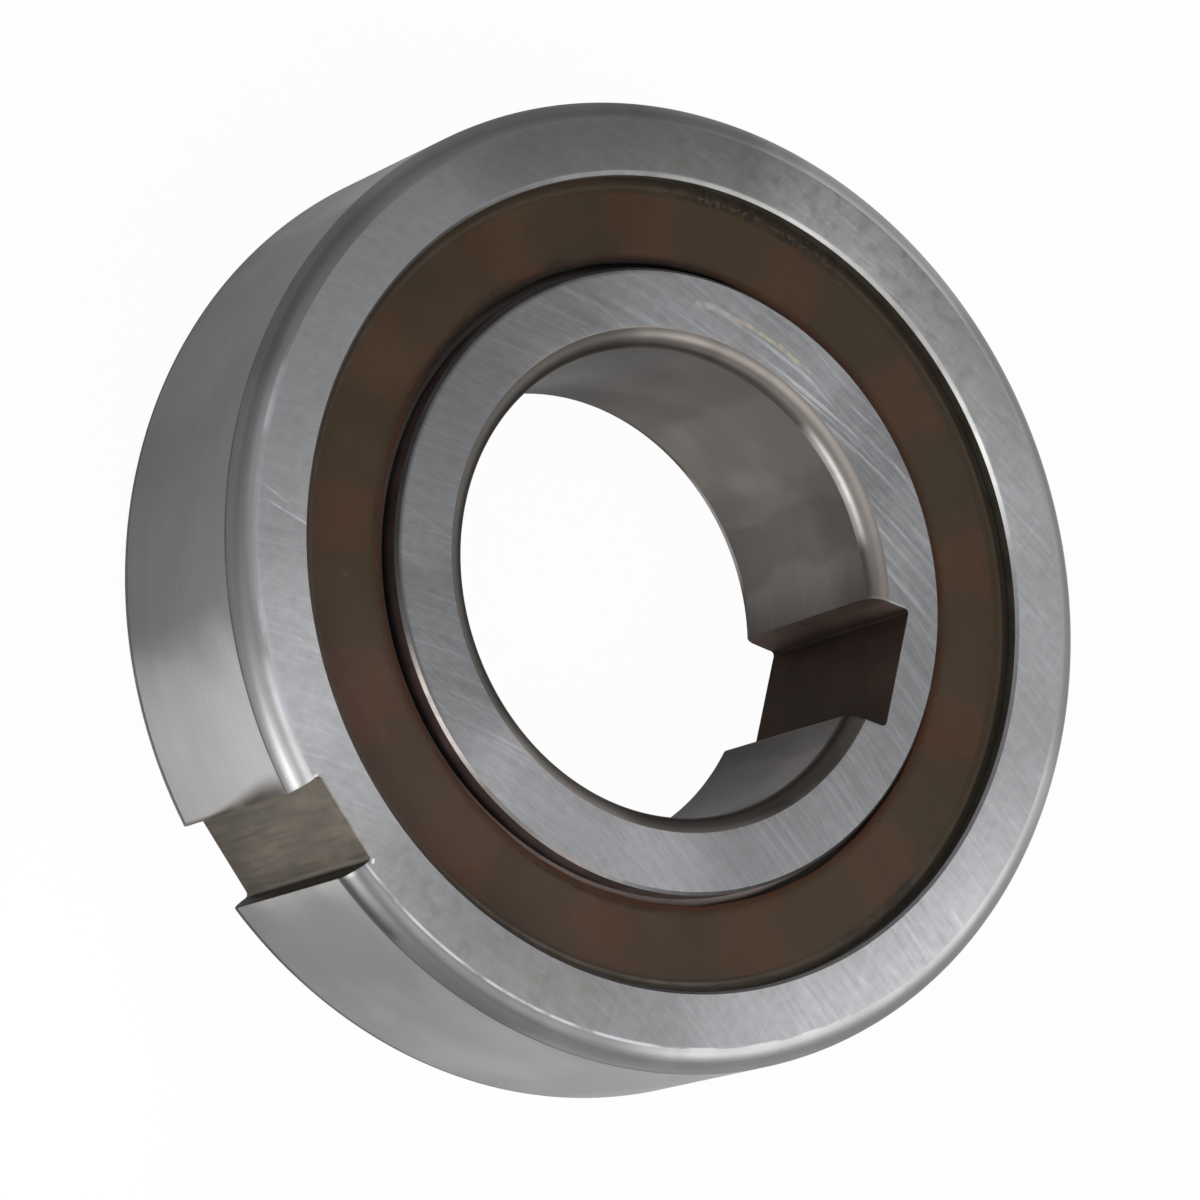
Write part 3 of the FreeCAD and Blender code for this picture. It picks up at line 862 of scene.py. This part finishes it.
# Painted highlight and shade on the bore's rounded edge: a darker band on one side, a bright stripe near the bore
# on another
painted_light_bore_edge = [
    (198, 50, 24, 1.28), (84, 52, 34, 0.48), (-55, 70, 50, 0.55), (214, 12, 3, 0.85), (229, 12, 4, 0.84),
]
bore_edge_painted_light = [
    (*bore_border, 0.00100, 0.20, (0.043, 0.038, 0.035), 98, 27, 16),
    (bore_radius + 0.00004, half_width - 0.00085, 0.00060, 0.20, (0.76, 0.74, 0.72), 175, 18, 8),
]
bore_edge_steel = turned_steel(
    "bore_edge_steel", (0.165, 0.150, 0.139), line_density=8000.0, contrast=0.05, roughness=0.47,
    marks=bore_edge_painted_light, patches=painted_light_bore_edge,
)
# Painted highlight: a light pinkish band on the inner ring's land wall above the film
inner_wall_highlights = [(inner_track, half_width - 0.0002, 0.00180, 0.20, (0.78, 0.62, 0.60))]
inner_track_steel = turned_steel("inner_track_steel", marks=inner_wall_highlights, **shaded_track_look)
# The keyway's floor and sides are copies of one broached steel: the floor painted dark as shade, the sides painted
# lighter
broached = {"changes": (900.0, 900.0, 60.0), "contrast": 0.20, "roughness": 0.60}
keyway_floor_shaded_steel = cut_steel("keyway_floor_shaded_steel", (0.060, 0.038, 0.028), **broached)
keyway_side_steel = cut_steel("keyway_side_steel", (0.200, 0.145, 0.125), **broached)
inner_mouth = [
    (inner_track - mouth_bevel, half_width),
    (inner_track, half_width - mouth_bevel),
    (inner_track, shield_low.z - land_drop),
    (inner_track + shoulder_step, shield_low.z - land_drop - step_height),
]
inner_side = grooved_side(inner_track, inner_track + shoulder_step, ball_circle + groove_reach, inner_mouth)
inner_shape = {
    "carved": bore_radius, "edge": bore_edge, "half_width": half_width, "half_channel": keyway_half_width,
    "floor": bore_radius + keyway_depth, "corner": cut_corner, "edge_break": edge_break, "columns": 560,
    "swing": math.radians(28), "floor_columns": 30, "face_rows": 9, "twist": keyway_angle, "crown": 0.0,
}
inner_piece = carved_ring(
    "inner_ring_ground", inner_shape, inner_side,
    [inner_face_steel, bore_steel, keyway_floor_shaded_steel, bore_edge_steel, inner_track_steel, keyway_side_steel],
)
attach(inner_piece, "inner_ring")
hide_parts("inner_ring")

# Film shields
# Two washers of amber-brown film, snapped into the outer ring's grooves. They are thin enough for the
# cage and the balls to show through as warmer and darker patches.
film_colour = (0.058, 0.040, 0.024)
film_cloud = (0.068, 0.045, 0.027)
dust_colour = (0.10, 0.085, 0.07)
slot_side_tone_colour = (0.077, 0.049, 0.036)
# Painted shade at the film's outer edge, where it goes under the outer ring
edge_shade_colour = (0.022, 0.019, 0.015)
# Painted highlight along the film's lip
lip_highlight_colour = (0.085, 0.066, 0.050)
crumb_colour = (0.013, 0.011, 0.009)
cut_colour = (0.043, 0.018, 0.0095)
# Painted shade at the top of the film's hole
hole_shade_colour = (0.013, 0.010, 0.008)
film_cover = 0.55
shield_inner = inner_track + 0.0005
shield_rounding = 0.00012
hole_waver = 0.00002

# Each band of crumbs: its radius and width, and the turn, reach and core of its side
crumbed = [
    (outer_track - 0.00050, 0.00070, 217, 18, 11), (outer_track - 0.00050, 0.00085, 91, 10, 4),
    (outer_track - 0.00050, 0.00060, 189, 6, 2), (shield_inner + 0.00030, 0.00050, 38, 17, 9),
    (shield_inner + 0.00040, 0.00060, 262, 22, 9),
]


def film_material():
    """Brown film, a little clearer than opaque, cloudy, with specks of dust, lighter and pinker by the slot and
    dull round its hole. It has painted shade where it goes under the outer ring and at the top of its hole,
    crumbs of dirt along both edges and a painted highlight along its lip."""
    material, tree, shader = new_material("amber_film")
    place = object_place(tree)

    def along_edge(radius, width, ragged, *side):
        """Mask of a line round the film at a radius."""
        return edge_mask(tree, radius, shield_high.z, width, ragged, *side)

    cloud = placed(tree, stains, Size=180.0)
    specks = tree.nodes.new("ShaderNodeTexVoronoi")
    fill(tree, specks, {"Vector": place, "Scale": 380.0})
    dust = ranged(tree, specks.outputs["Distance"], 0.03, 0.10, 0.7, 0.0)
    # A lighter, pinker tone on the side by the slot
    slot_side_tone = ranged(tree, one_side(tree, 15, 50, 20), 0.0, 1.0, 0.0, 0.7)
    # Painted shade: a dark line round the film's outer edge, strongest on one side, and a second one just inside
    # it on another side
    edge_shade_side = ranged(tree, one_side(tree, 95, 120, 60), 0.0, 1.0, 0.5, 1.0)
    edge_shade = combined(tree, "MULTIPLY", along_edge(outer_track + 0.00005, 0.00065, 0.15), edge_shade_side)
    near_edge_shade = along_edge(outer_track - 0.00045, 0.00055, 0.15, 40, 36, 18)
    edge_shade = combined(tree, "MAXIMUM", edge_shade, near_edge_shade)
    # Painted highlight: a pale line along the film's lip
    lip_highlight = along_edge(outer_track - 0.00058, 0.00018, 0.4)
    cut_edge = along_edge(shield_inner, 0.00075, 0.15)
    # Painted shade: a dark line along the top of the film's hole
    hole_shade = along_edge(shield_inner, 0.00060, 0.2, 258, 46, 26)
    crumbs = 0.0
    for radius, width, *side in crumbed:
        crumbs = combined(tree, "MAXIMUM", crumbs, along_edge(radius, width, 0.5, *side))
    grains = ranged(tree, noise_at(tree, place, 2600.0, 4.0), 0.48, 0.54, 1.0, 0.0)
    crumbs = combined(tree, "MULTIPLY", crumbs, grains)
    shade = mixed(tree, cloud, film_colour, film_cloud)
    layers = (
        (dust, dust_colour), (slot_side_tone, slot_side_tone_colour), (edge_shade, edge_shade_colour), (lip_highlight, lip_highlight_colour),
        (crumbs, crumb_colour), (cut_edge, cut_colour), (hole_shade, hole_shade_colour),
    )
    for mask, colour in layers:
        shade = mixed(tree, mask, shade, colour)
    cover = ranged(tree, cloud, 0.0, 1.0, film_cover - 0.03, film_cover + 0.04)
    for mask in (cut_edge, edge_shade, crumbs):
        cover = combined(tree, "MAXIMUM", cover, mask)
    gloss = ranged(tree, cloud, 0.0, 1.0, 0.30, 0.42)
    gloss = combined(tree, "MAXIMUM", gloss, combined(tree, "MULTIPLY", cut_edge, 0.9))
    fill(tree, shader, {"Base Color": shade, "Alpha": cover, "Roughness": gloss, "Specular IOR Level": 0.14})
    return material


amber_film = film_material()


def flat_ring(name, hole, rim, low, high, edge, steps, waver, material):
    """Thin flat ring: a section with rounded edges carried round the axis. The steps are those round the
    axis, round each edge and across each side. The hole's radius wavers by a sum of three sines, as a cut
    edge does."""
    around_steps, edge_steps, side_steps = steps
    half, middle = (high - low) / 2, (high + low) / 2
    ends = np.linspace(-math.pi / 2, math.pi / 2, edge_steps)
    across = np.linspace(0.15, 0.85, side_steps)
    around = np.linspace(0.0, 2 * math.pi, around_steps, endpoint=False)
    sines = np.sin(5 * around) + np.sin(13 * around + 1.0) + np.sin(29 * around + 2.0)
    hole = (hole + waver * sines)[:, None]
    width = rim - hole
    radius = np.concatenate([
        np.repeat((rim - edge + edge * np.cos(ends))[None, :], around_steps, axis=0),
        rim - across * width, hole + edge - edge * np.cos(ends), hole + across * width,
    ], axis=1)
    side = np.ones(side_steps)
    height = middle + half * np.concatenate([np.sin(ends), side, -np.sin(ends), -side])
    grid = np.stack([
        np.cos(around)[:, None] * radius, np.sin(around)[:, None] * radius,
        np.repeat(height[None, :], around_steps, axis=0),
    ], axis=2)
    return closed_grid(name, grid, np.zeros(grid.shape[:2]), [material])


for node in ("front_shield", "rear_shield"):
    low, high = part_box(node)
    film = flat_ring(
        node + "_film", shield_inner, shield_radius, low.z, high.z, shield_rounding, (480, 7, 6), hole_waver,
        amber_film,
    )
    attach(film, "outer_ring")
    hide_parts(node)

# Grease
# The ball cage carries a smear of brown grease round under the front film. It is thin over the cage's
# horns, where the reddish plastic shines through as thirteen warm patches, and thick over the balls.
grease_inner = 0.02085
grease_outer = 0.02515
grease_low = 0.00646
grease_high = 0.00654
horn_turn = math.radians(14.75)
horn_count = 13.0
thick_grease = (0.070, 0.050, 0.032)
warm_grease = (0.340, 0.080, 0.036)


def grease_material():
    """Brown grease with a warm patch at each horn. The patches go by the cosine of thirteen times the
    angle from the first horn, shifted by noise."""
    material, tree, shader = new_material("grease")
    place = object_place(tree)
    axes = split(tree, place)
    angle = combined(tree, "ARCTAN2", axes["Y"], axes["X"])
    wobble = ranged(tree, noise_at(tree, place, 300.0, 3.0), 0.3, 0.7, -0.45, 0.45)
    phase = combined(tree, "MULTIPLY_ADD", combined(tree, "SUBTRACT", angle, horn_turn), horn_count, wobble)
    patch = ranged(tree, combined(tree, "COSINE", phase), -0.40, 0.85, 0.0, 1.0)
    smear = ranged(tree, placed(tree, stains, Size=400.0), 0.0, 1.0, 0.85, 1.15)
    shade = vectored(tree, "SCALE", mixed(tree, patch, thick_grease, warm_grease), scale=smear)
    gloss = ranged(tree, smear, 0.85, 1.15, 0.45, 0.6)
    fill(tree, shader, {"Base Color": shade, "Roughness": gloss, "Specular IOR Level": 0.2})
    return material


grease = flat_ring(
    "cage_grease", grease_inner, grease_outer, grease_low, grease_high, (grease_high - grease_low) / 2,
    (360, 5, 0), 0.0, grease_material(),
)
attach(grease, "ball_cage")

# Balls
# Thirteen ground and polished steel balls, darkened by a film of grease. The balls, cages and sprags
# keep the shapes of the CAD part and only shade smoothly.


def ball_material():
    """Polished steel with a thin uneven film of grease."""
    material, tree, shader = new_material("ball_steel")
    greasy = placed(tree, stains, Size=500.0)
    shade = mixed(tree, greasy, (0.30, 0.30, 0.29), (0.20, 0.19, 0.15))
    gloss = ranged(tree, greasy, 0.0, 1.0, 0.08, 0.25)
    fill(tree, shader, {"Base Color": shade, "Roughness": gloss, "Metallic": 1.0})
    return material


def dressed_copy(node, name, material, crease):
    """Smoothed copy of a CAD solid in a material."""
    mesh = nodes[node].data.copy()
    mesh.name = name
    mesh.materials.clear()
    mesh.materials.append(material)
    return smoothed(name, mesh, joined_within=0.0000005, crease=crease)


ball_steel = ball_material()
for node in sorted(n for n in nodes if n.startswith("ball_") and n != "ball_cage"):
    ball = dressed_copy(node, node + "_polished", ball_steel, crease=60)
    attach(ball, node)
    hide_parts(node)

# Cages
# The ball cage is moulded in reddish-brown plastic, and the sprag cage behind it in a darker brown.


def moulded_material(name, colour, darker):
    """Moulded plastic with a fine sparkle grain and a cloudy flow."""
    material, tree, shader = new_material(name)
    shade = mixed(tree, placed(tree, stains, Size=220.0), darker, colour)
    grain = noise_at(tree, object_place(tree), 2600.0, 2.0)
    gloss = ranged(tree, grain, 0.3, 0.7, 0.42, 0.56)
    fill(tree, shader, {"Base Color": shade, "Roughness": gloss, "Normal": bumped(tree, grain, 0.000004)})
    return material


cage_plastic = moulded_material("cage_plastic", (0.50, 0.125, 0.055), (0.38, 0.095, 0.042))
drum_plastic = moulded_material("drum_plastic", (0.12, 0.060, 0.035), (0.085, 0.045, 0.028))
mouldings = (("ball_cage", cage_plastic, "cage_plastic"), ("sprag_cage", drum_plastic, "drum_plastic"))
for node, material, material_slot in mouldings:
    moulding = dressed_copy(node, node + "_moulded", material, crease=25)
    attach(moulding, node)
    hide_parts(node)

# Sprags
# Twenty-four drawn steel sections with polished cam faces and a notch across the outer head.
sprag_steel = cut_steel(
    "sprag_steel", (0.27, 0.262, 0.245), changes=(300.0, 300.0, 4000.0), contrast=0.08, roughness=0.28,
)
for node in sorted(n for n in nodes if n.startswith("sprag_") and n != "sprag_cage"):
    sprag = dressed_copy(node, node + "_drawn", sprag_steel, crease=25)
    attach(sprag, node)
    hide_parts(node)

# Garter spring
# One close-wound coil of fine wire, joined end to end round the drum in the sprags' notches.
wire_radius = 0.00009
coil_count = 400
coil_steps = 10
wire_sides = 5
spring_low, spring_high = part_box("garter_spring")
coil_radius = (spring_high.z - spring_low.z) / 2
spring_circle = spring_high.x - coil_radius
spring_height = (spring_high.z + spring_low.z) / 2


def wound_ring(name, material):
    """Wire along a helix that is wound round a circle.

    Centre line: (C + c cos nt) (cos t, sin t) across and c sin nt up, with n coils over one turn of t;
    the wire is a five-sided tube about it, squared to the coil's own circle."""
    steps = coil_count * coil_steps
    t = np.linspace(0.0, 2 * math.pi, steps, endpoint=False)
    wound = coil_count * t
    reach = coil_radius - wire_radius
    side = np.linspace(0.0, 2 * math.pi, wire_sides, endpoint=False)
    out_from_coil = np.cos(side)[None, :] * wire_radius
    along = np.sin(side)[None, :] * wire_radius
    radius = spring_circle + (reach + out_from_coil) * np.cos(wound)[:, None]
    height = spring_height + (reach + out_from_coil) * np.sin(wound)[:, None]
    x = radius * np.cos(t)[:, None] - along * np.sin(t)[:, None]
    y = radius * np.sin(t)[:, None] + along * np.cos(t)[:, None]
    grid = np.stack([x, y, height], axis=2)
    return closed_grid(name, grid, np.zeros(grid.shape[:2]), [material])


spring_steel = turned_steel(
    "spring_steel", (0.40, 0.39, 0.37), line_density=3000.0, contrast=0.05, roughness=0.25, depth=0.000001,
)
spring = wound_ring("garter_spring_coil", spring_steel)
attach(spring, "sprag_cage")
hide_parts("garter_spring")

bpy.context.scene.view_settings.view_transform = "Standard"
